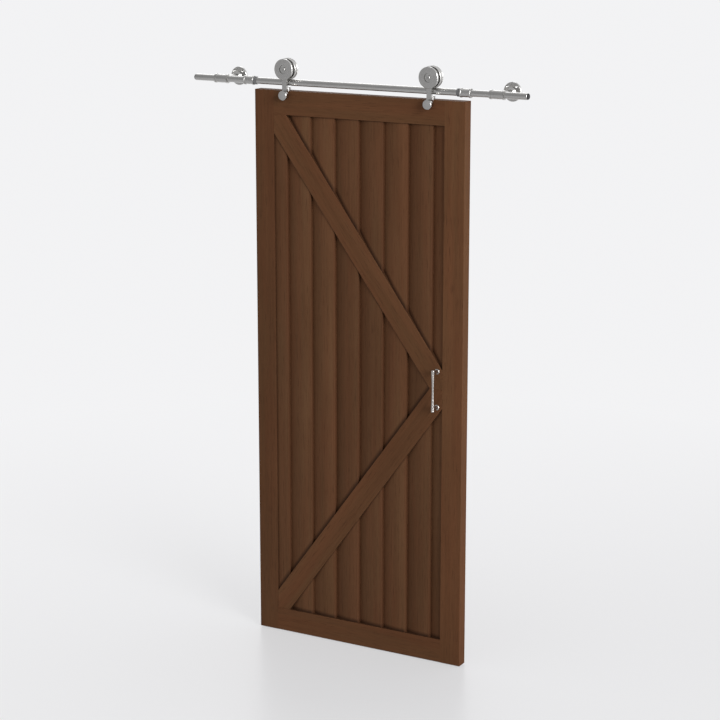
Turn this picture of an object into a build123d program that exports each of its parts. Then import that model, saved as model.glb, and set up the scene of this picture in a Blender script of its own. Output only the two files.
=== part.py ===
# Sliding barn door leaf with its round rail, wall brackets, hangers and pull handle.
# Millimetres, +Z up, the front looks towards -Y, the origin is the bottom centre of the whole.
from build123d import *

import os
from math import sqrt

os.makedirs("parts", exist_ok=True)

# Leaf and its frame
door_width = 914.0
door_height = 2190.0
door_thickness = 46.0
stile_width = 85.0
rail_height = 93.0
tenon_length = 60.0
tenon_thickness = 14.0
tenon_shoulder = 18.0
mortise_end_gap = 0.5
frame_arris = 1.5
brace_arris = 1.0

# Bevelled boards, with depths counted back from the front face of the frame
board_count = 8
first_board_width = 56.5
last_board_width = 49.5
nose_depth = 3.0
deep_depth = 18.0
board_back_depth = 28.0
board_crown = 4.5
nose_radius = 7.0
board_lap = 8.0
board_end_gap = 0.8
tongue_length = 12.0
groove_depth = 12.6
groove_clearance = 0.2

# Braces of the K, let into the boards
brace_width = 87.0

# Rail
tube_diameter = 25.0
tube_wall = 2.0
tube_length = 1440.0
tube_end_edge = 0.8
tube_above_door = 19.2
plug_cap = 4.0
plug_cap_diameter = 21.5
plug_cap_edge = 1.5
plug_insert = 18.0
plug_fit = 0.1
sleeve_fit = 0.05
wall_distance = 126.0

# Wall brackets
bracket_to_tube_end = 121.0
sleeve_diameter = 32.0
sleeve_length = 58.0
bead_diameter = 35.0
bead_length = 6.0
stem_diameter = 20.0
flange_diameter = 72.0
flange_thickness = 8.0
flange_edge = 1.5
hub_diameter = 34.0
hub_length = 6.0
hub_cone_length = 8.0
wall_hole_circle = 54.0
wall_hole_diameter = 5.5
wall_hole_count = 4
wall_hole_head = 10.5

# End stops on the tube
stop_face_to_bracket = 163.0
stop_diameter = 31.0
stop_length = 45.0
stop_bead_length = 7.0
stop_edge = 1.0
bumper_diameter = 30.0
bumper_length = 12.0
grub_diameter = 6.0
grub_socket = 3.0

# Hangers
hanger_to_door_edge = 143.5
door_offset = 15.0
strap_width = 20.0
strap_thickness = 10.0
strap_foot_radius = 14.0
strap_head_radius = 30.0
strap_corner_radius = 8.0
strap_tube_gap = 1.5
spacer_thickness = 5.0
spacer_diameter = 26.0
clamp_below_top = 16.2
clamp_diameter = 8.0
clamp_clearance = 0.2
clamp_head_diameter = 18.0
clamp_head_thickness = 6.0
clamp_head_edge = 1.2
clamp_tip_gap = 2.0
clamp_thread_fit = 0.05
clamp_socket = 5.0
clamp_socket_depth = 3.5
clamp_washer_diameter = 26.0
clamp_washer_thickness = 2.0
boss_diameter = 36.0
boss_length = 16.5
boss_edge = 1.2
boss_thread_depth = 12.0
cap_diameter = 80.0
cap_thickness = 8.0
cap_edge = 1.2
cap_recess_diameter = 34.0
cap_recess_depth = 3.5
axle_diameter = 10.0
axle_fit = 0.05
axle_head_diameter = 17.0
axle_head_thickness = 5.0
axle_head_edge = 1.0
axle_socket = 6.0
axle_socket_depth = 3.0
axle_sleeve_diameter = 16.0
axle_washer_diameter = 20.0
axle_washer_thickness = 2.0
axle_nut_size = 17.0
axle_nut_thickness = 8.0
axle_thread_end = 2.0
drill_overrun = 1.0

# Wheels
wheel_tread_radius = 38.0
wheel_rim_radius = 41.5
wheel_width = 22.0
wheel_clearance = 0.3
wheel_edge = 1.0
wheel_hub_radius = 18.0
wheel_web_radius = 32.0
wheel_dish = 3.0
wheel_dish_slope = 1.5
bush_radius = 13.0
bush_running_fit = 0.06
sleeve_proud = 0.3

# Discs on top of the leaf that keep the wheels on the rail
disc_diameter = 26.0
disc_height = 14.0
disc_edge = 1.0
disc_screw_diameter = 4.5
disc_screw_head = 9.0
disc_screw_length = 22.0
disc_screw_sink = 1.0
screw_fit = 0.05

# Pull handle
handle_to_stile = 22.0
handle_length = 165.0
handle_foot_spacing = 140.0
handle_reach = 34.0
grip_end_radius = 6.8
grip_waist_radius = 4.0
grip_dome = 3.5
post_top_radius = 6.0
post_foot_radius = 7.6
rose_diameter = 21.0
rose_thickness = 4.0
rose_edge = 1.0
handle_bolt_diameter = 5.0
handle_bolt_head = 11.0
handle_bolt_head_thickness = 3.0
handle_bolt_grip = 14.0

# The front face of the leaf, set so that the depth of the whole is centred on the origin
tube_radius = tube_diameter / 2
tube_behind_face = tube_radius + strap_tube_gap - spacer_thickness
front_reach = handle_reach + grip_end_radius
wall_behind_face = tube_behind_face + wall_distance
face_y = (front_reach - wall_behind_face) / 2

# Places worked out from the sizes
back_y = face_y + door_thickness
wall_y = face_y + wall_behind_face
tube_y = face_y + tube_behind_face
tube_z = door_height + tube_above_door + tube_radius
axle_z = tube_z + tube_radius + wheel_clearance + wheel_tread_radius
clamp_z = door_height - clamp_below_top
strap_back_y = face_y - spacer_thickness
strap_front_y = strap_back_y - strap_thickness
door_left = door_offset - door_width / 2
door_right = door_offset + door_width / 2
open_left = door_left + stile_width
open_right = door_right - stile_width
open_bottom = rail_height
open_top = door_height - rail_height
open_width = open_right - open_left
open_height = open_top - open_bottom
leaf_middle_y = face_y + door_thickness / 2
wheel_back_y = tube_y + wheel_width / 2
deep_y = face_y + deep_depth
board_back_y = face_y + board_back_depth
bracket_x = tube_length / 2 - bracket_to_tube_end
stop_face_x = bracket_x - stop_face_to_bracket
board_pitch = (open_width - first_board_width - last_board_width) / (board_count - 2)
hanger_x = {
    "left": door_left + hanger_to_door_edge,
    "right": door_right - hanger_to_door_edge,
}


def front_plane(y, x=0.0, z=0.0):
    """A plane that looks towards the viewer, with its own x to the right and its own y up."""
    return Plane(origin=(x, y, z), x_dir=(1, 0, 0), z_dir=(0, -1, 0))


def side_plane(x, y=0.0, z=0.0):
    """A plane across the rail, extruded along +X."""
    return Plane(origin=(x, y, z), x_dir=(0, 1, 0), z_dir=(1, 0, 0))


def save(part, name):
    part.label = name
    export_step(part, f"parts/{name}.step")


# Frame of the leaf
def brace_outline(end_z):
    """The outline of one brace, from a corner of the opening to the middle of the right stile."""
    middle_z = (open_bottom + open_top) / 2
    rise = abs(end_z - middle_z)
    length = sqrt(open_width**2 + rise**2)
    across = brace_width / 2 * length / rise
    along = brace_width / 2 * length / open_width
    up = 1 if end_z > middle_z else -1
    return [
        (open_left, end_z),
        (open_left + across, end_z),
        (open_right, middle_z + up * along),
        (open_right, middle_z),
        (open_right - across, middle_z),
        (open_left, end_z - up * along),
    ]


brace_outlines = {"upper_brace": brace_outline(open_top), "lower_brace": brace_outline(open_bottom)}


def stile(name, outer_x, inner_x):
    inward = 1 if inner_x > outer_x else -1
    with BuildPart() as piece:
        with BuildSketch():
            with Locations(((outer_x + inner_x) / 2, (face_y + back_y) / 2)):
                Rectangle(stile_width, door_thickness)
        extrude(amount=door_height)
        outer_face = piece.faces().sort_by(Axis.X)[-1 if outer_x > inner_x else 0]
        fillet(outer_face.edges().filter_by(Axis.Z), frame_arris)
        # The groove that takes the tongues of the boards
        with BuildSketch(Plane.XY.offset(open_bottom - groove_depth)):
            with Locations((inner_x - inward * groove_depth / 2, (deep_y + board_back_y) / 2)):
                Rectangle(groove_depth, board_back_depth - deep_depth + 2 * groove_clearance)
        extrude(amount=open_height + 2 * groove_depth, mode=Mode.SUBTRACT)
        # The mortises that take the tenons of the rails
        for rail_z in (rail_height / 2, door_height - rail_height / 2):
            with BuildSketch(side_plane(inner_x, leaf_middle_y, rail_z)):
                Rectangle(tenon_thickness, rail_height - 2 * tenon_shoulder)
            extrude(amount=-inward * (tenon_length + mortise_end_gap), mode=Mode.SUBTRACT)
    save(piece.part, name)


def frame_rail(name, bottom_z, groove_z, with_hangers):
    middle_z = bottom_z + rail_height / 2
    with BuildPart() as piece:
        with BuildSketch(front_plane(back_y, door_offset, middle_z)):
            Rectangle(open_width, rail_height)
        extrude(amount=door_thickness)
        outer_face = piece.faces().sort_by(Axis.Z)[-1 if bottom_z > 0 else 0]
        fillet(outer_face.edges().filter_by(Axis.X), frame_arris)
        with BuildSketch(side_plane(open_left - tenon_length, leaf_middle_y, middle_z)):
            Rectangle(tenon_thickness, rail_height - 2 * tenon_shoulder)
        extrude(amount=open_width + 2 * tenon_length)
        with BuildSketch(side_plane(open_left, (deep_y + board_back_y) / 2, groove_z)):
            Rectangle(board_back_depth - deep_depth + 2 * groove_clearance, groove_depth)
        extrude(amount=open_width, mode=Mode.SUBTRACT)
        if with_hangers:
            for x in hanger_x.values():
                with BuildSketch(front_plane(back_y, x, clamp_z)):
                    Circle(clamp_diameter / 2 + clamp_clearance)
                extrude(amount=door_thickness, mode=Mode.SUBTRACT)
                with BuildSketch(Plane(origin=(x, tube_y, door_height))):
                    Circle(disc_screw_diameter / 2 + screw_fit)
                extrude(amount=disc_height - disc_screw_sink - disc_screw_length, mode=Mode.SUBTRACT)
    save(piece.part, name)


def brace(name):
    with BuildPart() as piece:
        with BuildSketch(front_plane(deep_y)):
            with BuildLine():
                Polyline(*brace_outlines[name], close=True)
            make_face()
        extrude(amount=deep_depth)
        chamfer(piece.faces().sort_by(Axis.Y)[0].edges(), brace_arris)
        handle_holes(deep_y + drill_overrun)
    save(piece.part, name)


# Boards of the panel
handle_x = open_right - handle_to_stile
handle_z = (open_bottom + open_top) / 2
handle_feet = [handle_z - handle_foot_spacing / 2, handle_z + handle_foot_spacing / 2]


def handle_holes(from_y):
    """Drills the two bolt holes of the pull handle through the brace or board being built."""
    for z in handle_feet:
        with BuildSketch(front_plane(from_y, handle_x, z)) as hole:
            Circle(handle_bolt_diameter / 2 + screw_fit)
        extrude(hole.sketch, amount=from_y - face_y + drill_overrun, mode=Mode.SUBTRACT)


def board(name, left_x, is_first, is_last):
    """A board from left_x, where it is deep, to its nose one pitch further right."""
    nose_x = left_x + board_pitch
    rabbet_x = nose_x - board_lap - board_end_gap
    nose_y = face_y + nose_depth
    middle = ((left_x + nose_x) / 2, (deep_y + nose_y) / 2 - board_crown)
    with BuildPart() as piece:
        with BuildSketch(Plane.XY.offset(open_bottom)) as section:
            with BuildLine():
                Polyline((rabbet_x, board_back_y), (left_x - board_lap, board_back_y),
                         (left_x - board_lap, deep_y), (left_x, deep_y))
                ThreePointArc((left_x, deep_y), middle, (nose_x, nose_y))
                Polyline((nose_x, nose_y), (nose_x, deep_y), (rabbet_x, deep_y), (rabbet_x, board_back_y))
            make_face()
            fillet(section.vertices().sort_by(Axis.Y)[0], nose_radius)
        extrude(amount=open_height)
        # The end boards are ripped to the width of the opening
        with BuildSketch(Plane.XY.offset(open_bottom)):
            with Locations((door_offset, leaf_middle_y)):
                Rectangle(open_width, door_thickness)
        extrude(amount=open_height, mode=Mode.INTERSECT)
        # The tongues that run in the grooves of the frame
        tongue_left = open_left - tongue_length if is_first else left_x - board_lap
        tongue_right = open_right + tongue_length if is_last else rabbet_x
        with BuildSketch(Plane.XY.offset(open_bottom - tongue_length)):
            with Locations(((tongue_left + tongue_right) / 2, (deep_y + board_back_y) / 2)):
                Rectangle(tongue_right - tongue_left, board_back_depth - deep_depth)
        extrude(amount=open_height + 2 * tongue_length)
        # The housings that take the braces
        for outline in brace_outlines.values():
            with BuildSketch(front_plane(deep_y)):
                with BuildLine():
                    Polyline(*outline, close=True)
                make_face()
            extrude(amount=deep_depth, mode=Mode.SUBTRACT)
        if tongue_left < handle_x < tongue_right:
            handle_holes(board_back_y + drill_overrun)
    # A loose corner that a brace cuts off a nose is waste
    save(piece.part.solids().sort_by(SortBy.VOLUME)[-1], name)


def boards():
    first_left_x = open_left + first_board_width - board_pitch
    for index in range(board_count):
        left_x = first_left_x + index * board_pitch
        board(f"board_{index + 1}", left_x, index == 0, index == board_count - 1)


# Rail, brackets and stops
def rail_tube():
    with BuildPart() as piece:
        with BuildSketch(side_plane(-tube_length / 2, tube_y, tube_z)):
            Circle(tube_radius)
            Circle(tube_radius - tube_wall, mode=Mode.SUBTRACT)
        extrude(amount=tube_length)
        outer_rims = piece.edges().filter_by(GeomType.CIRCLE).group_by(SortBy.RADIUS)[-1]
        chamfer(outer_rims, tube_end_edge)
    save(piece.part, "rail_tube")


def rail_plug(name, outward):
    end_x = outward * tube_length / 2
    with BuildPart() as piece:
        with BuildSketch(side_plane(end_x, tube_y, tube_z)):
            Circle(plug_cap_diameter / 2)
        extrude(amount=outward * plug_cap)
        chamfer(piece.faces().sort_by(Axis.X)[-1 if outward > 0 else 0].edges(), plug_cap_edge)
        with BuildSketch(side_plane(end_x, tube_y, tube_z)):
            Circle(tube_radius - tube_wall - plug_fit)
        extrude(amount=-outward * plug_insert)
    save(piece.part, name)


def grub_hole(x):
    """A hole for a grub screw, from the tube downwards out of a sleeve or a stop."""
    with BuildSketch(Plane(origin=(x, tube_y, tube_z))) as hole:
        Circle(grub_diameter / 2 + screw_fit)
    extrude(hole.sketch, amount=-bead_diameter, mode=Mode.SUBTRACT)


def bracket(name, x):
    sleeve_start = x - sleeve_length / 2
    flange_front_y = wall_y - flange_thickness
    hub_front_y = flange_front_y - hub_length
    with BuildPart() as piece:
        with BuildSketch(side_plane(sleeve_start, tube_y, tube_z)):
            Circle(sleeve_diameter / 2)
        extrude(amount=sleeve_length)
        for bead_x in (sleeve_start, x + sleeve_length / 2 - bead_length):
            with BuildSketch(side_plane(bead_x, tube_y, tube_z)):
                Circle(bead_diameter / 2)
            extrude(amount=bead_length)
        # The stem, the hub with its cone and the wall flange are turned about one axis
        with BuildSketch(Plane(origin=(x, 0, tube_z))):
            with BuildLine():
                Polyline(
                    (0, tube_y),
                    (stem_diameter / 2, tube_y),
                    (stem_diameter / 2, hub_front_y - hub_cone_length),
                    (hub_diameter / 2, hub_front_y),
                    (hub_diameter / 2, flange_front_y),
                    (flange_diameter / 2 - flange_edge, flange_front_y),
                    (flange_diameter / 2, flange_front_y + flange_edge),
                    (flange_diameter / 2, wall_y),
                    (0, wall_y),
                    close=True,
                )
            make_face()
        revolve(axis=Axis((x, 0, tube_z), (0, 1, 0)))
        # The bore for the tube is cut last, so the stem ends at the bore
        with BuildSketch(side_plane(sleeve_start, tube_y, tube_z)):
            Circle(tube_radius + sleeve_fit)
        extrude(amount=sleeve_length, mode=Mode.SUBTRACT)
        grub_hole(x)
        with Locations(front_plane(flange_front_y, x, tube_z)):
            with PolarLocations(wall_hole_circle / 2, wall_hole_count, start_angle=180 / wall_hole_count):
                CounterSinkHole(wall_hole_diameter / 2, wall_hole_head / 2)
    save(piece.part, name)


def stop(side, inward):
    """A stop collar with its rubber bumper, which faces the middle of the rail."""
    face_x = -inward * stop_face_x
    joint_x = face_x - inward * bumper_length
    collar_middle_x = joint_x - inward * stop_length / 2
    with BuildPart() as bumper:
        with BuildSketch(side_plane(joint_x, tube_y, tube_z)):
            Circle(bumper_diameter / 2)
            Circle(tube_radius + sleeve_fit, mode=Mode.SUBTRACT)
        extrude(amount=inward * bumper_length)
    save(bumper.part, f"bumper_{side}")
    with BuildPart() as collar:
        with BuildSketch(side_plane(joint_x, tube_y, tube_z)):
            Circle(stop_diameter / 2)
        extrude(amount=-inward * stop_length)
        for start_x in (joint_x, joint_x - inward * (stop_length - stop_bead_length)):
            with BuildSketch(side_plane(start_x, tube_y, tube_z)):
                Circle(bead_diameter / 2)
            extrude(amount=-inward * stop_bead_length)
        bead_edges = collar.edges().filter_by(GeomType.CIRCLE).group_by(SortBy.RADIUS)[-1]
        chamfer(bead_edges, stop_edge)
        with BuildSketch(side_plane(joint_x, tube_y, tube_z)):
            Circle(tube_radius + sleeve_fit)
        extrude(amount=-inward * stop_length, mode=Mode.SUBTRACT)
        grub_hole(collar_middle_x)
    save(collar.part, f"stop_{side}")
    return collar_middle_x


def grub_screws(places, outer_radius, name):
    with BuildPart() as piece:
        for x in places:
            with BuildSketch(Plane(origin=(x, tube_y, tube_z - outer_radius))):
                Circle(grub_diameter / 2)
                RegularPolygon(grub_socket / 2, 6, major_radius=False, mode=Mode.SUBTRACT)
            extrude(amount=(outer_radius - tube_radius) / 2)
            with BuildSketch(Plane(origin=(x, tube_y, tube_z - (outer_radius + tube_radius) / 2))):
                Circle(grub_diameter / 2)
            extrude(amount=(outer_radius - tube_radius) / 2 - sleeve_fit)
    save(piece.part, name)


# Hangers
def strap(name, x):
    with BuildPart() as piece:
        with BuildSketch(front_plane(strap_back_y, x, 0)) as outline:
            with Locations((0, (clamp_z + axle_z) / 2)):
                Rectangle(strap_width, axle_z - clamp_z)
            with Locations((0, clamp_z)):
                Circle(strap_foot_radius)
            with Locations((0, axle_z)):
                Circle(strap_head_radius)
            necks = outline.vertices().filter_by_position(Axis.X, x - strap_width / 2, x + strap_width / 2)
            fillet(necks, strap_corner_radius)
        extrude(amount=strap_thickness)
        with BuildSketch(front_plane(strap_back_y, x, 0)):
            with Locations((0, clamp_z)):
                Circle(clamp_diameter / 2 + clamp_clearance)
            with Locations((0, axle_z)):
                Circle(axle_diameter / 2 + axle_fit)
        extrude(amount=strap_thickness, mode=Mode.SUBTRACT)
    save(piece.part, name)


def turned(x, z, outline):
    """The part being built gets a body turned about a front-to-back axis, from radius and y pairs."""
    with BuildSketch(Plane(origin=(x, 0, z))) as profile:
        with BuildLine():
            Polyline(*outline, close=True)
        make_face()
    revolve(profile.sketch, axis=Axis((x, 0, z), (0, 1, 0)))


def head_cap(name, x):
    front_y = strap_front_y - cap_thickness
    floor_y = front_y + cap_recess_depth
    with BuildPart() as piece:
        turned(x, axle_z, [
            (axle_diameter / 2 + axle_fit, strap_front_y),
            (axle_diameter / 2 + axle_fit, floor_y),
            (cap_recess_diameter / 2 - cap_edge, floor_y),
            (cap_recess_diameter / 2, front_y),
            (cap_diameter / 2 - cap_edge, front_y),
            (cap_diameter / 2, front_y + cap_edge),
            (cap_diameter / 2, strap_front_y),
        ])
    save(piece.part, name)


def axle_bolt(name, x):
    seat_y = strap_front_y - cap_thickness + cap_recess_depth
    end_y = wheel_back_y + sleeve_proud + axle_washer_thickness + axle_nut_thickness + axle_thread_end
    with BuildPart() as piece:
        with BuildSketch(front_plane(seat_y, x, axle_z)):
            Circle(axle_head_diameter / 2)
        extrude(amount=axle_head_thickness)
        chamfer(piece.faces().sort_by(Axis.Y)[0].edges(), axle_head_edge)
        with BuildSketch(front_plane(seat_y - axle_head_thickness, x, axle_z)):
            RegularPolygon(axle_socket / 2, 6, major_radius=False)
        extrude(amount=-axle_socket_depth, mode=Mode.SUBTRACT)
        with BuildSketch(front_plane(seat_y, x, axle_z)):
            Circle(axle_diameter / 2)
        extrude(amount=seat_y - end_y)
    save(piece.part, name)


def axle_sleeve(name, x):
    """The sleeve between strap and washer that the wheel's bush turns on."""
    back = wheel_back_y + sleeve_proud
    with BuildPart() as piece:
        with BuildSketch(front_plane(back, x, axle_z)):
            Circle(axle_sleeve_diameter / 2)
            Circle(axle_diameter / 2 + axle_fit, mode=Mode.SUBTRACT)
        extrude(amount=back - strap_back_y)
    save(piece.part, name)


def axle_washers():
    back = wheel_back_y + sleeve_proud + axle_washer_thickness
    with BuildPart() as piece:
        for x in hanger_x.values():
            with BuildSketch(front_plane(back, x, axle_z)):
                Circle(axle_washer_diameter / 2)
                Circle(axle_diameter / 2 + axle_fit, mode=Mode.SUBTRACT)
            extrude(amount=axle_washer_thickness)
    save(piece.part, "axle_washers")


def axle_nuts():
    back = wheel_back_y + sleeve_proud + axle_washer_thickness + axle_nut_thickness
    with BuildPart() as piece:
        for x in hanger_x.values():
            with BuildSketch(front_plane(back, x, axle_z)):
                RegularPolygon(axle_nut_size / 2, 6, major_radius=False)
                Circle(axle_diameter / 2 + axle_fit, mode=Mode.SUBTRACT)
            extrude(amount=axle_nut_thickness)
    save(piece.part, "axle_nuts")


def wheel(name, x):
    """The grooved wheel: its groove is round about the tube, and both faces are dished."""
    half = wheel_width / 2
    groove_radius = tube_radius + wheel_clearance
    groove_half = sqrt(groove_radius**2 - (wheel_tread_radius + groove_radius - wheel_rim_radius) ** 2)
    with BuildPart() as piece:
        with BuildSketch(Plane(origin=(x, tube_y, axle_z))):
            with BuildLine():
                ThreePointArc(
                    (wheel_rim_radius, -groove_half), (wheel_tread_radius, 0), (wheel_rim_radius, groove_half)
                )
                for end in (-1, 1):
                    Polyline(
                        (wheel_rim_radius, end * groove_half),
                        (wheel_rim_radius, end * (half - wheel_edge)),
                        (wheel_rim_radius - wheel_edge, end * half),
                        (wheel_web_radius + wheel_dish_slope, end * half),
                        (wheel_web_radius, end * (half - wheel_dish)),
                        (wheel_hub_radius, end * (half - wheel_dish)),
                        (wheel_hub_radius - wheel_dish_slope, end * half),
                        (bush_radius, end * half),
                    )
                Line((bush_radius, -half), (bush_radius, half))
            make_face()
        revolve(axis=Axis((x, tube_y, axle_z), (0, 1, 0)))
    save(piece.part, name)


def wheel_bush(name, x):
    with BuildPart() as piece:
        with BuildSketch(front_plane(wheel_back_y, x, axle_z)):
            Circle(bush_radius)
            Circle(axle_sleeve_diameter / 2 + bush_running_fit, mode=Mode.SUBTRACT)
        extrude(amount=wheel_width)
    save(piece.part, name)


def clamp_boss(name, x):
    """The round nut on the front of the strap, blind and threaded from behind."""
    front_y = strap_front_y - boss_length
    with BuildPart() as piece:
        turned(x, clamp_z, [
            (0, front_y),
            (boss_diameter / 2 - boss_edge, front_y),
            (boss_diameter / 2, front_y + boss_edge),
            (boss_diameter / 2, strap_front_y),
            (clamp_diameter / 2 + clamp_thread_fit, strap_front_y),
            (clamp_diameter / 2 + clamp_thread_fit, strap_front_y - boss_thread_depth),
            (0, strap_front_y - boss_thread_depth),
        ])
    save(piece.part, name)


def strap_spacer(name, x):
    with BuildPart() as piece:
        with BuildSketch(front_plane(face_y, x, clamp_z)):
            Circle(spacer_diameter / 2)
            Circle(clamp_diameter / 2 + clamp_clearance, mode=Mode.SUBTRACT)
        extrude(amount=spacer_thickness)
    save(piece.part, name)


def clamp_washers():
    with BuildPart() as piece:
        for x in hanger_x.values():
            with BuildSketch(front_plane(back_y + clamp_washer_thickness, x, clamp_z)):
                Circle(clamp_washer_diameter / 2)
                Circle(clamp_diameter / 2 + clamp_clearance, mode=Mode.SUBTRACT)
            extrude(amount=clamp_washer_thickness)
    save(piece.part, "clamp_washers")


def clamp_bolts():
    seat_y = back_y + clamp_washer_thickness
    head_y = seat_y + clamp_head_thickness
    tip_y = strap_front_y - boss_thread_depth + clamp_tip_gap
    with BuildPart() as piece:
        for x in hanger_x.values():
            with BuildSketch(front_plane(head_y, x, clamp_z)):
                Circle(clamp_head_diameter / 2)
            extrude(amount=clamp_head_thickness)
            with BuildSketch(front_plane(head_y, x, clamp_z)):
                RegularPolygon(clamp_socket / 2, 6, major_radius=False)
            extrude(amount=clamp_socket_depth, mode=Mode.SUBTRACT)
            with BuildSketch(front_plane(seat_y, x, clamp_z)):
                Circle(clamp_diameter / 2)
            extrude(amount=seat_y - tip_y)
        chamfer(piece.faces().group_by(Axis.Y)[-1].edges().filter_by(GeomType.CIRCLE), clamp_head_edge)
    save(piece.part, "clamp_bolts")


def anti_jump_disc(name, x):
    with BuildPart() as piece:
        with BuildSketch(Plane(origin=(x, tube_y, door_height))):
            Circle(disc_diameter / 2)
        extrude(amount=disc_height)
        chamfer(piece.faces().sort_by(Axis.Z)[-1].edges(), disc_edge)
        with Locations(Plane(origin=(x, tube_y, door_height + disc_height))):
            CounterSinkHole(
                disc_screw_diameter / 2 + screw_fit, disc_screw_head / 2 + disc_screw_sink + screw_fit
            )
    save(piece.part, name)


def disc_screws():
    head_z = door_height + disc_height - disc_screw_sink
    head_depth = (disc_screw_head - disc_screw_diameter) / 2
    with BuildPart() as piece:
        for x in hanger_x.values():
            with BuildSketch(Plane(origin=(x, tube_y, head_z), x_dir=(1, 0, 0), z_dir=(0, -1, 0))):
                with BuildLine():
                    Polyline(
                        (0, 0),
                        (disc_screw_head / 2, 0),
                        (disc_screw_diameter / 2, -head_depth),
                        (disc_screw_diameter / 2, head_depth - disc_screw_length),
                        (0, -disc_screw_length),
                        close=True,
                    )
                make_face()
            revolve(axis=Axis((x, tube_y, head_z), (0, 0, 1)))
    save(piece.part, "anti_jump_screws")


# Pull handle
def pull_handle():
    grip_y = face_y - handle_reach
    half = handle_length / 2
    with BuildPart() as piece:
        # The grip is turned: thick at its ends and slender at its waist
        with BuildSketch(front_plane(grip_y, handle_x, handle_z)):
            with BuildLine():
                Line((0, -half), (0, half))
                Line((0, half), (grip_end_radius - grip_dome, half))
                JernArc((grip_end_radius - grip_dome, half), (1, 0), grip_dome, -90)
                ThreePointArc(
                    (grip_end_radius, half - grip_dome),
                    (grip_waist_radius, 0),
                    (grip_end_radius, grip_dome - half),
                )
                JernArc((grip_end_radius, grip_dome - half), (0, -1), grip_dome, -90)
                Line((grip_end_radius - grip_dome, -half), (0, -half))
            make_face()
        revolve(axis=Axis((handle_x, grip_y, handle_z), (0, 0, 1)))
        for z in handle_feet:
            turned(handle_x, z, [
                (0, grip_y),
                (post_top_radius, grip_y),
                (post_foot_radius, face_y - rose_thickness),
                (rose_diameter / 2 - rose_edge, face_y - rose_thickness),
                (rose_diameter / 2, face_y - rose_thickness + rose_edge),
                (rose_diameter / 2, face_y),
                (0, face_y),
            ])
            with BuildSketch(front_plane(face_y, handle_x, z)):
                Circle(handle_bolt_diameter / 2 + screw_fit)
            extrude(amount=handle_bolt_grip + drill_overrun, mode=Mode.SUBTRACT)
    save(piece.part, "pull_handle")


def handle_bolts():
    with BuildPart() as piece:
        for z in handle_feet:
            with BuildSketch(front_plane(board_back_y + handle_bolt_head_thickness, handle_x, z)):
                Circle(handle_bolt_head / 2)
            extrude(amount=handle_bolt_head_thickness)
            with BuildSketch(front_plane(board_back_y, handle_x, z)):
                Circle(handle_bolt_diameter / 2)
            extrude(amount=board_back_depth + handle_bolt_grip)
    save(piece.part, "handle_bolts")


stile("left_stile", door_left, open_left)
stile("right_stile", door_right, open_right)
frame_rail("top_rail", open_top, open_top + groove_depth / 2, True)
frame_rail("bottom_rail", 0.0, open_bottom - groove_depth / 2, False)
for brace_name in brace_outlines:
    brace(brace_name)
boards()
rail_tube()
rail_plug("rail_plug_left", -1)
rail_plug("rail_plug_right", 1)
bracket("bracket_left", -bracket_x)
bracket("bracket_right", bracket_x)
stop_places = [stop("left", 1), stop("right", -1)]
grub_screws(stop_places, stop_diameter / 2, "stop_grub_screws")
grub_screws([-bracket_x, bracket_x], sleeve_diameter / 2, "bracket_grub_screws")
for side, place in hanger_x.items():
    strap(f"strap_{side}", place)
    head_cap(f"cap_{side}", place)
    axle_bolt(f"axle_bolt_{side}", place)
    axle_sleeve(f"axle_sleeve_{side}", place)
    wheel(f"wheel_{side}", place)
    wheel_bush(f"wheel_bush_{side}", place)
    clamp_boss(f"clamp_boss_{side}", place)
    strap_spacer(f"strap_spacer_{side}", place)
    anti_jump_disc(f"anti_jump_disc_{side}", place)
axle_washers()
axle_nuts()
clamp_washers()
clamp_bolts()
disc_screws()
pull_handle()
handle_bolts()
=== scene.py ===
from math import atan2, hypot, radians

import bmesh
import bpy
from mathutils import Euler, Matrix, Vector


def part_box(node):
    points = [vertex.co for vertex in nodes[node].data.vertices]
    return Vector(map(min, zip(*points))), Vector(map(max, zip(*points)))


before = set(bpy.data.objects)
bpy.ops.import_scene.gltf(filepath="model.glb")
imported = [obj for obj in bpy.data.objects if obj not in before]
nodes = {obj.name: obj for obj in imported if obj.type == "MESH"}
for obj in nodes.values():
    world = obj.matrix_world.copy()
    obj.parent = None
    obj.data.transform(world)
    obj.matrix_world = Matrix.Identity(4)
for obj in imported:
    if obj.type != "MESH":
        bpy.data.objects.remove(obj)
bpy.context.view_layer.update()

# The opening of the leaf that the boards and the braces fill
open_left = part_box("left_stile")[1][0]
open_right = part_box("right_stile")[0][0]
open_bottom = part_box("bottom_rail")[1][2]
open_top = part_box("top_rail")[0][2]
open_middle = (open_bottom + open_top) / 2
leaf_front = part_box("left_stile")[0][1]
leaf_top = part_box("left_stile")[1][2]

# Timber colours as the photo shows them, in linear light
WALNUT_DARK = (0.095, 0.0400, 0.0172, 1.0)
WALNUT_LIGHT = (0.149, 0.0665, 0.0305, 1.0)
PANEL_DARK = (0.104, 0.0445, 0.0196, 1.0)
PANEL_LIGHT = (0.169, 0.0800, 0.0385, 1.0)
# Painted shade for the low side and the nose of each board
PANEL_PAINTED_SHADE = (0.068, 0.026, 0.0110, 1.0)
# Painted shade in the corners and on the inner walls of the opening
CORNER_PAINTED_SHADE = (0.030, 0.0135, 0.0070, 1.0)
PORE = (0.040, 0.018, 0.009, 1.0)

# Casts that multiply the timber: slow patches of red and olive, and painted shade and light that make the
# foot darker than the head
RED_CAST = (1.030, 0.975, 0.965, 1.0)
OLIVE_CAST = (0.970, 1.020, 1.015, 1.0)
FOOT_PAINTED_SHADE = (0.940, 0.940, 0.940, 1.0)
HEAD_PAINTED_LIGHT = (1.065, 1.065, 1.060, 1.0)

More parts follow.
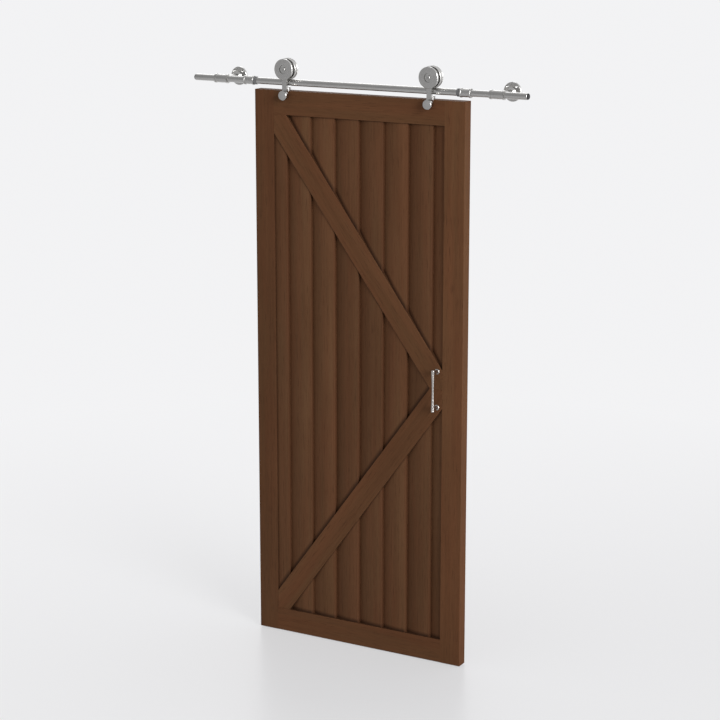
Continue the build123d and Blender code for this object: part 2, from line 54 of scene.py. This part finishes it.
# Steel, rubber and plastic
STEEL = (0.620, 0.612, 0.595, 1.0)
STEEL_DULL = (0.500, 0.494, 0.480, 1.0)
HANDLE_STEEL = (0.640, 0.612, 0.584, 1.0)
HANDLE_STEEL_DULL = (0.520, 0.496, 0.474, 1.0)
FASTENER_STEEL = (0.540, 0.534, 0.520, 1.0)
RUBBER_DARK = (0.135, 0.135, 0.137, 1.0)
RUBBER_GREY = (0.190, 0.190, 0.192, 1.0)
PLUG_BLACK = (0.016, 0.016, 0.017, 1.0)
PLUG_GREY = (0.030, 0.030, 0.032, 1.0)
BUSH_PALE = (0.560, 0.545, 0.500, 1.0)
BUSH_CREAM = (0.640, 0.625, 0.575, 1.0)

# Studio
STUDIO_WHITE = (0.893, 0.893, 0.905, 1.0)
FLOOR_WHITE = (0.780, 0.780, 0.787, 1.0)

# Boards and braces, in metres, and the tone of each board from left to right
FIRST_BOARD_WIDTH = 0.0565
BOARD_PITCH = 0.10633
BRACE_HALF_WIDTH = 0.0435
BOARD_TONES = (0.88, 1.03, 1.07, 0.92, 0.92, 1.06, 0.90, 1.02)

# Places of the colour sockets on a Mix node, whose other data types have sockets of the same names
MIX_AMOUNT = 0
MIX_FIRST = 6
MIX_SECOND = 7
MIX_RESULT = 2

# Nearly all of a noise lies between these two values
NOISE_LOW = 0.3
NOISE_HIGH = 0.7

NO_SHIFT = (0.0, 0.0, 0.0)
NO_TURN = (0.0, 0.0, 0.0)
# Lays a grain that runs along Z along X, and stands brushed lines that run along X upright
QUARTER_TURN = (0.0, radians(90.0), 0.0)


# Node helpers
def new_group(name, inputs, outputs):
    """An empty shader group with its sockets, its input node and its output node."""
    group = bpy.data.node_groups.new(name, "ShaderNodeTree")
    for label, kind, value in inputs:
        socket = group.interface.new_socket(name=label, in_out="INPUT", socket_type=kind)
        if value is not None:
            socket.default_value = value
    for label, kind in outputs:
        group.interface.new_socket(name=label, in_out="OUTPUT", socket_type=kind)
    return group, group.nodes.new("NodeGroupInput"), group.nodes.new("NodeGroupOutput")


def new_finish_group(name, dark, light, more_inputs=()):
    """A group with the sockets that every finish has: a place and two colours in, three maps out."""
    inputs = [
        ("Vector", "NodeSocketVector", None),
        ("Dark", "NodeSocketColor", dark),
        ("Light", "NodeSocketColor", light),
    ]
    inputs.extend(more_inputs)
    outputs = [
        ("Color", "NodeSocketColor"),
        ("Roughness", "NodeSocketFloat"),
        ("Height", "NodeSocketFloat"),
    ]
    return new_group(name, inputs, outputs)


def put_out(group, outside, values):
    """Links each value to the output of the group that has its name."""
    for label, value in values.items():
        group.links.new(value, outside.inputs[label])


def object_place(tree):
    """The place on the object, in metres."""
    return tree.nodes.new("ShaderNodeTexCoord").outputs["Object"]


def axes(tree, vector):
    """The X, Y and Z of a vector."""
    split = tree.nodes.new("ShaderNodeSeparateXYZ")
    tree.links.new(vector, split.inputs["Vector"])
    return split.outputs["X"], split.outputs["Y"], split.outputs["Z"]


def stretched_noise(tree, vector, stretch, detail, roughness=0.5, distortion=0.0):
    """Noise that runs long in the directions where stretch is small."""
    mapping = tree.nodes.new("ShaderNodeMapping")
    mapping.inputs["Scale"].default_value = stretch
    tree.links.new(vector, mapping.inputs["Vector"])
    noise = tree.nodes.new("ShaderNodeTexNoise")
    noise.inputs["Scale"].default_value = 1.0
    noise.inputs["Detail"].default_value = detail
    noise.inputs["Roughness"].default_value = roughness
    noise.inputs["Distortion"].default_value = distortion
    tree.links.new(mapping.outputs["Vector"], noise.inputs["Vector"])
    return noise.outputs["Fac"]


def calculate(tree, operation, first, second=None):
    """One step of arithmetic on numbers or sockets."""
    node = tree.nodes.new("ShaderNodeMath")
    node.operation = operation
    for socket, value in zip(node.inputs, (first, second)):
        if value is None:
            continue
        if isinstance(value, (int, float)):
            socket.default_value = value
        else:
            tree.links.new(value, socket)
    return node.outputs["Value"]


def weighted_sum(tree, parts):
    """The sum of the values, each multiplied by its weight."""
    total = None
    for value, weight in parts:
        part = calculate(tree, "MULTIPLY", value, weight)
        total = part if total is None else calculate(tree, "ADD", total, part)
    return total


def smallest(tree, values):
    """The least of several values."""
    least = values[0]
    for value in values[1:]:
        least = calculate(tree, "MINIMUM", least, value)
    return least


def spread(tree, value, low=NOISE_LOW, high=NOISE_HIGH, to_low=0.0, to_high=1.0):
    """The stretch from low to high laid out from to_low to to_high, and held there beyond its ends."""
    node = tree.nodes.new("ShaderNodeMapRange")
    node.inputs["From Min"].default_value = low
    node.inputs["From Max"].default_value = high
    node.inputs["To Min"].default_value = to_low
    node.inputs["To Max"].default_value = to_high
    tree.links.new(value, node.inputs["Value"])
    return node.outputs["Result"]


def mixed_colour(tree, amount, first, second):
    """The first colour where the amount is 0, and the second where it is 1."""
    node = tree.nodes.new("ShaderNodeMix")
    node.data_type = "RGBA"
    tree.links.new(amount, node.inputs[MIX_AMOUNT])
    for socket, value in ((node.inputs[MIX_FIRST], first), (node.inputs[MIX_SECOND], second)):
        if isinstance(value, tuple):
            socket.default_value = value
        else:
            tree.links.new(value, socket)
    return node.outputs[MIX_RESULT]


def tinted(tree, colour, cast):
    """A colour multiplied by a cast."""
    node = tree.nodes.new("ShaderNodeMix")
    node.data_type = "RGBA"
    node.blend_type = "MULTIPLY"
    node.inputs[MIX_AMOUNT].default_value = 1.0
    tree.links.new(colour, node.inputs[MIX_FIRST])
    tree.links.new(cast, node.inputs[MIX_SECOND])
    return node.outputs[MIX_RESULT]


# Timber: how much the streaks, the stain and the pores show, where the figure is set by each piece
STREAK_SHARE = 0.34
STAIN_SHARE = 0.26
PORE_SHARE = 0.45
PORE_ROUGHNESS = 0.12
STREAK_HEIGHT = 0.6


def make_timber_group():
    """Stained timber with its grain along Z: broad figure, fine streaks, pores and an uneven stain."""
    group, inside, outside = new_finish_group("timber_grain", WALNUT_DARK, WALNUT_LIGHT, [
        ("Pore", "NodeSocketColor", PORE),
        ("Figure", "NodeSocketFloat", 0.5),
    ])
    place = inside.outputs["Vector"]
    figure = stretched_noise(group, place, (11.0, 11.0, 0.55), detail=4.0, roughness=0.55, distortion=0.8)
    streaks = stretched_noise(group, place, (120.0, 120.0, 2.2), detail=3.0, roughness=0.6)
    stain = stretched_noise(group, place, (4.5, 4.5, 2.4), detail=2.0)
    pores = stretched_noise(group, place, (620.0, 620.0, 16.0), detail=1.0)
    patches = stretched_noise(group, place, (17.0, 17.0, 1.3), detail=2.0, distortion=0.6)
    tone = weighted_sum(group, [
        (spread(group, figure), inside.outputs["Figure"]),
        (spread(group, streaks, low=0.28, high=0.72), STREAK_SHARE),
        (spread(group, stain), STAIN_SHARE),
    ])
    plain = mixed_colour(group, tone, inside.outputs["Dark"], inside.outputs["Light"])
    cast = mixed_colour(group, spread(group, patches, low=0.36, high=0.64), RED_CAST, OLIVE_CAST)
    open_pores = spread(group, pores, low=0.60, high=0.70)
    pore_shade = calculate(group, "MULTIPLY", open_pores, PORE_SHARE)
    colour = mixed_colour(group, pore_shade, tinted(group, plain, cast), inside.outputs["Pore"])
    polish = spread(group, streaks, to_low=0.58, to_high=0.70)
    rough = calculate(group, "ADD", polish, calculate(group, "MULTIPLY", open_pores, PORE_ROUGHNESS))
    relief = calculate(group, "MULTIPLY", streaks, STREAK_HEIGHT)
    put_out(group, outside, {
        "Color": colour,
        "Roughness": rough,
        "Height": calculate(group, "SUBTRACT", relief, open_pores),
    })
    return group


# Steel: the weights of the tool's lines and of the smudges, and the roughness that the paler tone adds
BRUSHED_LINES = 0.55
BRUSHED_SMUDGES = 0.45
TURNED_RINGS = 0.45
TURNED_SMUDGES = 0.55
TONE_ROUGHNESS = 0.10
RINGS_PER_METRE = 1300.0


def put_out_steel(group, inside, outside, tone, height):
    """Steel between its two colours, a little rougher where it is paler."""
    put_out(group, outside, {
        "Color": mixed_colour(group, tone, inside.outputs["Dark"], inside.outputs["Light"]),
        "Roughness": calculate(group, "ADD", inside.outputs["Smooth"],
                               calculate(group, "MULTIPLY", tone, TONE_ROUGHNESS)),
        "Height": height,
    })


def make_brushed_group():
    """Steel brushed along X, with a faint uneven polish."""
    group, inside, outside = new_finish_group("brushed_finish", STEEL_DULL, STEEL, [
        ("Smooth", "NodeSocketFloat", 0.20),
    ])
    place = inside.outputs["Vector"]
    lines = stretched_noise(group, place, (14.0, 1500.0, 1500.0), detail=3.0, roughness=0.6)
    smudges = stretched_noise(group, place, (9.0, 22.0, 22.0), detail=3.0)
    tone = weighted_sum(group, [
        (spread(group, lines), BRUSHED_LINES),
        (spread(group, smudges), BRUSHED_SMUDGES),
    ])
    put_out_steel(group, inside, outside, tone, lines)
    return group


def make_turned_group():
    """Steel turned on a lathe about Y: fine rings round the origin of the vector."""
    group, inside, outside = new_finish_group("turned_finish", STEEL_DULL, STEEL, [
        ("Smooth", "NodeSocketFloat", 0.18),
    ])
    place = inside.outputs["Vector"]
    x, _, z = axes(group, place)
    radius_squared = weighted_sum(group, [(x, x), (z, z)])
    radius = calculate(group, "SQRT", radius_squared)
    ring_noise = group.nodes.new("ShaderNodeTexNoise")
    ring_noise.noise_dimensions = "1D"
    ring_noise.inputs["Scale"].default_value = RINGS_PER_METRE
    ring_noise.inputs["Detail"].default_value = 2.0
    group.links.new(radius, ring_noise.inputs["W"])
    rings = ring_noise.outputs["Fac"]
    smudges = stretched_noise(group, place, (26.0, 26.0, 26.0), detail=3.0)
    tone = weighted_sum(group, [
        (spread(group, rings), TURNED_RINGS),
        (spread(group, smudges), TURNED_SMUDGES),
    ])
    put_out_steel(group, inside, outside, tone, rings)
    return group


def make_moulded_group():
    """A fine moulded grain for rubber and plastic."""
    group, inside, outside = new_finish_group("moulded_grain", RUBBER_DARK, RUBBER_GREY)
    place = inside.outputs["Vector"]
    grain = stretched_noise(group, place, (900.0, 900.0, 900.0), detail=2.0)
    clouds = stretched_noise(group, place, (60.0, 60.0, 60.0), detail=2.0)
    put_out(group, outside, {
        "Color": mixed_colour(group, spread(group, clouds),
                              inside.outputs["Dark"], inside.outputs["Light"]),
        "Roughness": spread(group, grain, to_low=0.50, to_high=0.68),
        "Height": grain,
    })
    return group


# Painted shade on the boards where shade falls beside the frame and the braces, in metres from a ledge or
# from another corner
LEDGE_FULL = 0.005
LEDGE_REACH = 0.018
CORNER_REACH = 0.007
# The inner walls stand at the opening's edge, and a distance from that edge is negative outside it
WALL_FULL = -0.0006
WALL_END = -0.0012
# Depths behind the front of the leaf
WALL_SHADE_STARTS = 0.0010
WALL_SHADE_FULL_FROM = 0.0040
BOARD_SHADE_FULL_TO = 0.022
BOARD_SHADE_ENDS = 0.024
# How dark the painted shade is in each place, from 0 to 1
LEDGE_SHARE = 0.85
CORNER_SHARE = 0.50
WALL_SHARE = 0.62
# A point deeper inside a brace than the slack belongs to its other side, so it is moved far away
BRACE_SLACK = 0.001
FAR_AWAY = 9.0


def over_brace(tree, corner_z, from_left, z):
    """The height over a brace's centre line, which runs from a left corner to the middle of the right."""
    across = open_right - open_left
    fall = corner_z - open_middle
    run = hypot(across, fall)
    over_corner = calculate(tree, "SUBTRACT", z, corner_z)
    return weighted_sum(tree, [(from_left, fall / run), (over_corner, across / run)])


def clear_of_brace(tree, height):
    """The distance from a brace's edge on the side where height is positive, and far on the other side."""
    distance = calculate(tree, "SUBTRACT", height, BRACE_HALF_WIDTH)
    beyond = calculate(tree, "LESS_THAN", distance, -BRACE_SLACK)
    return calculate(tree, "ADD", distance, calculate(tree, "MULTIPLY", beyond, FAR_AWAY))


def make_corner_shade_group():
    """Painted shade where shade falls: on the inner walls of the opening, and on the boards beside them.

    It is painted darkest in the corners above a ledge, which are the top sides of the braces and of the
    bottom rail.
    """
    group, inside, outside = new_group(
        "corner_painted_shade",
        [("Vector", "NodeSocketVector", None)],
        [("Wall", "NodeSocketFloat"), ("Board", "NodeSocketFloat"), ("Height", "NodeSocketFloat")],
    )
    x, y, z = axes(group, inside.outputs["Vector"])
    from_bottom = calculate(group, "SUBTRACT", z, open_bottom)
    from_top = calculate(group, "SUBTRACT", open_top, z)
    from_left = calculate(group, "SUBTRACT", x, open_left)
    from_right = calculate(group, "SUBTRACT", open_right, x)
    ledges = [from_bottom]
    corners = [from_top, from_left, from_right]
    for corner_z in (open_top, open_bottom):
        height = over_brace(group, corner_z, from_left, z)
        ledges.append(clear_of_brace(group, height))
        corners.append(clear_of_brace(group, calculate(group, "MULTIPLY", height, -1.0)))
    on_ledges = spread(group, smallest(group, ledges), LEDGE_FULL, LEDGE_REACH, LEDGE_SHARE, 0.0)
    in_corners = spread(group, smallest(group, corners), 0.0, CORNER_REACH, CORNER_SHARE, 0.0)
    # The back of the leaf has no ledges, so the painted shade on the boards ends inside their thickness
    depth = calculate(group, "SUBTRACT", y, leaf_front)
    in_front = spread(group, depth, BOARD_SHADE_FULL_TO, BOARD_SHADE_ENDS, 1.0, 0.0)
    beside = calculate(group, "MAXIMUM", on_ledges, in_corners)
    edge = smallest(group, [from_bottom, from_top, from_left, from_right])
    within = spread(group, edge, WALL_END, WALL_FULL)
    deep = spread(group, depth, WALL_SHADE_STARTS, WALL_SHADE_FULL_FROM)
    wall = calculate(group, "MULTIPLY", within, deep)
    put_out(group, outside, {
        "Wall": calculate(group, "MULTIPLY", wall, WALL_SHARE),
        "Board": calculate(group, "MULTIPLY", beside, in_front),
        "Height": spread(group, z, 0.0, leaf_top),
    })
    return group


timber_group = make_timber_group()
brushed_group = make_brushed_group()
turned_group = make_turned_group()
moulded_group = make_moulded_group()
corner_shade_group = make_corner_shade_group()


# Materials
def new_finish(name, group, values, bump_distance, bump_strength, shader_values, shift=NO_SHIFT,
               turn=NO_TURN):
    """A Principled material that takes its colour, roughness and bump from one shared effect."""
    material = bpy.data.materials.new(name)
    material.use_nodes = True
    tree = material.node_tree
    shader = tree.nodes["Principled BSDF"]
    mapping = tree.nodes.new("ShaderNodeMapping")
    mapping.inputs["Location"].default_value = shift
    mapping.inputs["Rotation"].default_value = turn
    tree.links.new(object_place(tree), mapping.inputs["Vector"])
    effect = tree.nodes.new("ShaderNodeGroup")
    effect.node_tree = group
    tree.links.new(mapping.outputs["Vector"], effect.inputs["Vector"])
    for label, value in values.items():
        effect.inputs[label].default_value = value
    bump = tree.nodes.new("ShaderNodeBump")
    bump.inputs["Strength"].default_value = bump_strength
    bump.inputs["Distance"].default_value = bump_distance
    tree.links.new(effect.outputs["Height"], bump.inputs["Height"])
    tree.links.new(effect.outputs["Color"], shader.inputs["Base Color"])
    tree.links.new(effect.outputs["Roughness"], shader.inputs["Roughness"])
    tree.links.new(bump.outputs["Normal"], shader.inputs["Normal"])
    for label, value in shader_values.items():
        shader.inputs[label].default_value = value
    return material


def toned(colour, tone):
    """A colour made darker or lighter, and still opaque."""
    return (colour[0] * tone, colour[1] * tone, colour[2] * tone, 1.0)


def timber(name, shift, turn=NO_TURN, dark=WALNUT_DARK, light=WALNUT_LIGHT, figure=0.40, tone=1.0,
           corner_shaded="Wall"):
    """Stained walnut, cut from its own place in the wood, with painted corner shade on its walls or face.
    """
    values = {"Dark": toned(dark, tone), "Light": toned(light, tone), "Pore": PORE, "Figure": figure}
    material = new_finish(name, timber_group, values, bump_distance=0.0006, bump_strength=0.25,
                          shader_values={"Specular IOR Level": 0.08}, shift=shift, turn=turn)
    paint_corner_shade(material, corner_shaded)
    return material


def colour_link(material):
    """The material's tree, its colour as it stands and the socket that takes a new one."""
    socket = material.node_tree.nodes["Principled BSDF"].inputs["Base Color"]
    return material.node_tree, socket.links[0].from_socket, socket


def paint_corner_shade(material, corner_shaded):
    """Painted shade in the corners where shade falls, on the inner walls or on the boards beside them."""
    tree, plain, base_colour = colour_link(material)
    corners = tree.nodes.new("ShaderNodeGroup")
    corners.node_tree = corner_shade_group
    tree.links.new(object_place(tree), corners.inputs["Vector"])
    # Painted shade makes the timber a little darker towards the foot of the leaf, and painted light a
    # little lighter towards the head
    painted_height_light = mixed_colour(tree, corners.outputs["Height"], FOOT_PAINTED_SHADE, HEAD_PAINTED_LIGHT)
    height_shaded = tinted(tree, plain, painted_height_light)
    # The painted corner shade is mixed over the colour here
    tree.links.new(mixed_colour(tree, corners.outputs[corner_shaded], height_shaded, CORNER_PAINTED_SHADE), base_colour)


# Painted shade on each board: its own colour comes in from its left edge, is full at the crown and falls
# off over the nose
CROWN_TO_NOSE = 0.012
NOSE_SHADE_WIDTH = 0.010
LEFT_EDGE_COLOUR = 0.62
NOSE_COLOUR = 0.30


def paint_board_shade(material, left_x, nose_x):
    """Painted shade, darker in the low left side of a board, and darkest over its nose."""
    tree, corner_shaded, base_colour = colour_link(material)
    x, _, _ = axes(tree, object_place(tree))
    across = spread(tree, x, left_x, nose_x - CROWN_TO_NOSE, LEFT_EDGE_COLOUR, 1.0)
    over_nose = spread(tree, x, nose_x - NOSE_SHADE_WIDTH, nose_x, 1.0, NOSE_COLOUR)
    amount = calculate(tree, "MINIMUM", across, over_nose)
    # The painted shade across the board is mixed over its colour here
    tree.links.new(mixed_colour(tree, amount, PANEL_PAINTED_SHADE, corner_shaded), base_colour)


def turned_steel(name, x, z, smooth=0.18):
    """Turned steel with its rings centred on the piece's own axis."""
    return new_finish(name, turned_group, {"Dark": STEEL_DULL, "Light": STEEL, "Smooth": smooth},
                      bump_distance=0.00005, bump_strength=0.20, shader_values={"Metallic": 1.0},
                      shift=(-x, 0.0, -z))


def brushed_steel(name, turn=NO_TURN, dark=STEEL_DULL, light=STEEL, smooth=0.20):
    """Steel with its brushed lines along X, or upright with a quarter turn."""
    return new_finish(name, brushed_group, {"Dark": dark, "Light": light, "Smooth": smooth},
                      bump_distance=0.00004, bump_strength=0.15, shader_values={"Metallic": 1.0},
                      turn=turn)


def moulded(name, dark, light):
    """Rubber or plastic as it comes from the mould."""
    return new_finish(name, moulded_group, {"Dark": dark, "Light": light},
                      bump_distance=0.0001, bump_strength=0.20, shader_values={"Specular IOR Level": 0.40})


def paint(node, material):
    """Gives the whole of a piece one material."""
    mesh = nodes[node].data
    if mesh.materials:
        for index in range(len(mesh.materials)):
            mesh.materials[index] = material
    else:
        mesh.materials.append(material)


def centre(node):
    """The middle of a piece's box."""
    low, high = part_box(node)
    return [(low[axis] + high[axis]) / 2 for axis in range(3)]


# Leaf: each piece of timber is cut from its own place in the wood
paint("left_stile", timber("left_stile_timber", (0.31, 0.20, 1.70), tone=0.86))
paint("right_stile", timber("right_stile_timber", (1.87, 0.40, 5.10), tone=1.07))
paint("top_rail", timber("top_rail_timber", (2.40, 0.10, 3.30), QUARTER_TURN, tone=0.99))
paint("bottom_rail", timber("bottom_rail_timber", (4.15, 0.90, 7.70), QUARTER_TURN, tone=0.98))

for brace, up in (("upper_brace", 1.0), ("lower_brace", -1.0)):
    low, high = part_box(brace)
    lean = atan2(high[0] - low[0], high[2] - low[2])
    paint(brace, timber(f"{brace}_timber", (0.7 * up, 1.3, 2.9 * up), (0.0, up * lean, 0.0)))

boards = sorted(name for name in nodes if name.startswith("board_"))
for number, (name, tone) in enumerate(zip(boards, BOARD_TONES), start=1):
    shift = (0.83 * number + 0.4, 0.37 * number, 1.91 * number)
    board_timber = timber(f"{name}_timber", shift, dark=PANEL_DARK, light=PANEL_LIGHT, figure=0.38,
                          tone=tone, corner_shaded="Board")
    nose_x = open_left + FIRST_BOARD_WIDTH + (number - 1) * BOARD_PITCH
    paint_board_shade(board_timber, nose_x - BOARD_PITCH, nose_x)
    paint(name, board_timber)

# Rail, brackets and stops
paint("rail_tube", brushed_steel("rail_steel"))
for side in ("left", "right"):
    x, _, z = centre(f"bracket_{side}")
    paint(f"bracket_{side}", turned_steel(f"bracket_{side}_steel", x, z))
    paint(f"stop_{side}", brushed_steel(f"stop_{side}_steel", smooth=0.32))
    paint(f"bumper_{side}", moulded(f"bumper_{side}_rubber", RUBBER_DARK, RUBBER_GREY))
    paint(f"rail_plug_{side}", moulded(f"rail_plug_{side}_plastic", PLUG_BLACK, PLUG_GREY))

# Hangers and wheels
for side in ("left", "right"):
    x, _, z = centre(f"wheel_{side}")
    paint(f"cap_{side}", turned_steel(f"cap_{side}_steel", x, z))
    paint(f"axle_bolt_{side}", turned_steel(f"axle_bolt_{side}_steel", x, z, smooth=0.24))
    paint(f"axle_sleeve_{side}", turned_steel(f"axle_sleeve_{side}_steel", x, z, smooth=0.22))
    paint(f"wheel_{side}", turned_steel(f"wheel_{side}_steel", x, z, smooth=0.20))
    paint(f"wheel_bush_{side}", moulded(f"wheel_bush_{side}_plastic", BUSH_PALE, BUSH_CREAM))
    paint(f"strap_{side}", brushed_steel(f"strap_{side}_steel", QUARTER_TURN))
    x, _, z = centre(f"clamp_boss_{side}")
    paint(f"clamp_boss_{side}", turned_steel(f"clamp_boss_{side}_steel", x, z))
    paint(f"strap_spacer_{side}", turned_steel(f"strap_spacer_{side}_steel", x, z))
    paint(f"anti_jump_disc_{side}", brushed_steel(f"anti_jump_disc_{side}_steel"))

# Fasteners and handle
fasteners = brushed_steel("fastener_steel", light=FASTENER_STEEL, smooth=0.26)
for name in ("axle_nuts", "axle_washers", "clamp_bolts", "clamp_washers", "anti_jump_screws",
             "handle_bolts", "stop_grub_screws", "bracket_grub_screws"):
    paint(name, fasteners)
paint("pull_handle", brushed_steel("pull_handle_steel", QUARTER_TURN, dark=HANDLE_STEEL_DULL,
                                   light=HANDLE_STEEL, smooth=0.24))


# Floor, light and camera, in metres and degrees
FLOOR_REACH = 30.0
FLOOR_BELOW_LEAF = 0.004
FLOOR_ROUGHNESS = 0.30
FLOOR_SPECULAR = 0.14
# Near the leaf the floor shows its own shade, and further off it goes over into the backdrop
FLOOR_GLOW_NEAR = 0.54
GLOW_STARTS = 0.6
GLOW_FULL = 4.0
# Metal sees the bright floor behind the leaf, and the plain one in front
BEHIND_STARTS = -0.3
BEHIND_FULL = 1.2
# Metal sees a dimmer studio in front and to the left than behind and to the right
SIDE_LEAN = 0.45
FRONT_ENDS = -0.55
BACK_STARTS = 0.35
FRONT_IN_GLOSS = 0.42
SKY_LIGHT = 0.58
CAMERA_PLACE = (4.0370, -6.95035, 3.0427)
CAMERA_LOOKS_DOWN = 13.20
CAMERA_TURN = 30.15
CAMERA_LENS_MM = 106.185
SENSOR_WIDTH_MM = 36.0
CAMERA_SEES_TO = 100.0


def camera_and_gloss(tree):
    """The rays that come from the camera, and those that metal or glass sends on."""
    path = tree.nodes.new("ShaderNodeLightPath")
    gloss = calculate(tree, "MAXIMUM", path.outputs["Is Glossy Ray"], path.outputs["Is Transmission Ray"])
    return path.outputs["Is Camera Ray"], gloss


def make_floor_material():
    """A pale floor that keeps its shadows near the leaf and turns into the backdrop further off."""
    material = bpy.data.materials.new("studio_floor")
    material.use_nodes = True
    tree = material.node_tree
    shader = tree.nodes["Principled BSDF"]
    shader.inputs["Base Color"].default_value = FLOOR_WHITE
    shader.inputs["Roughness"].default_value = FLOOR_ROUGHNESS
    shader.inputs["Specular IOR Level"].default_value = FLOOR_SPECULAR
    glow = tree.nodes.new("ShaderNodeEmission")
    glow.inputs["Color"].default_value = STUDIO_WHITE
    place = object_place(tree)
    distance = tree.nodes.new("ShaderNodeVectorMath")
    distance.operation = "LENGTH"
    tree.links.new(place, distance.inputs[0])
    fade = spread(tree, distance.outputs["Value"], GLOW_STARTS, GLOW_FULL, FLOOR_GLOW_NEAR, 1.0)
    _, y, _ = axes(tree, place)
    behind = spread(tree, y, BEHIND_STARTS, BEHIND_FULL)
    camera_ray, gloss = camera_and_gloss(tree)
    seen = calculate(tree, "MAXIMUM", calculate(tree, "MULTIPLY", gloss, behind), camera_ray)
    blend = tree.nodes.new("ShaderNodeMixShader")
    tree.links.new(calculate(tree, "MULTIPLY", fade, seen), blend.inputs["Fac"])
    tree.links.new(shader.outputs["BSDF"], blend.inputs[1])
    tree.links.new(glow.outputs["Emission"], blend.inputs[2])
    tree.links.new(blend.outputs["Shader"], tree.nodes["Material Output"].inputs["Surface"])
    return material


def make_floor():
    """A plain floor just under the hanging leaf."""
    mesh = bpy.data.meshes.new("floor")
    shape = bmesh.new()
    bmesh.ops.create_grid(shape, x_segments=1, y_segments=1, size=FLOOR_REACH)
    shape.to_mesh(mesh)
    shape.free()
    mesh.transform(Matrix.Translation((0.0, 0.0, -FLOOR_BELOW_LEAF)))
    mesh.materials.append(make_floor_material())
    floor = bpy.data.objects.new("floor", mesh)
    bpy.context.scene.collection.objects.link(floor)


def make_world():
    """White for camera rays and behind the object, dimmer in front, and a plain level for the light."""
    world = bpy.data.worlds.new("studio")
    bpy.context.scene.world = world
    world.use_nodes = True
    tree = world.node_tree
    background = tree.nodes["Background"]
    background.inputs["Color"].default_value = STUDIO_WHITE
    direction = tree.nodes.new("ShaderNodeTexCoord")
    x, y, _ = axes(tree, direction.outputs["Generated"])
    side = calculate(tree, "ADD", calculate(tree, "MULTIPLY", x, SIDE_LEAN), y)
    seen_in_gloss = spread(tree, side, FRONT_ENDS, BACK_STARTS, FRONT_IN_GLOSS, 1.0)
    camera_ray, gloss = camera_and_gloss(tree)
    soft = calculate(tree, "MULTIPLY", calculate(tree, "SUBTRACT", 1.0, gloss), SKY_LIGHT)
    level = calculate(tree, "ADD", calculate(tree, "MULTIPLY", gloss, seen_in_gloss), soft)
    tree.links.new(calculate(tree, "MAXIMUM", camera_ray, level), background.inputs["Strength"])


def add_lamp(name, direction, angle, strength):
    """A wide, soft lamp far away, so that the floor has no bright pool in any view."""
    data = bpy.data.lights.new(name, "SUN")
    data.angle = radians(angle)
    data.energy = strength
    lamp = bpy.data.objects.new(name, data)
    lamp.rotation_euler = Vector(direction).to_track_quat("Z", "Y").to_euler()
    bpy.context.scene.collection.objects.link(lamp)


def add_camera():
    """The camera stands to the right of the leaf and looks down on it a little, as in the photo."""
    data = bpy.data.cameras.new("camera")
    data.sensor_width = SENSOR_WIDTH_MM
    data.lens = CAMERA_LENS_MM
    data.clip_end = CAMERA_SEES_TO
    camera = bpy.data.objects.new("camera", data)
    camera.location = CAMERA_PLACE
    camera.rotation_euler = Euler((radians(90.0 - CAMERA_LOOKS_DOWN), 0.0, radians(CAMERA_TURN)))
    bpy.context.scene.collection.objects.link(camera)
    bpy.context.scene.camera = camera


make_floor()
make_world()
add_lamp("key_lamp", direction=(5.4, -2.7, 1.75), angle=28.0, strength=1.9)
add_lamp("back_lamp", direction=(-3.0, 4.5, 2.2), angle=28.0, strength=0.35)
add_camera()
bpy.context.scene.view_settings.view_transform = "Standard"
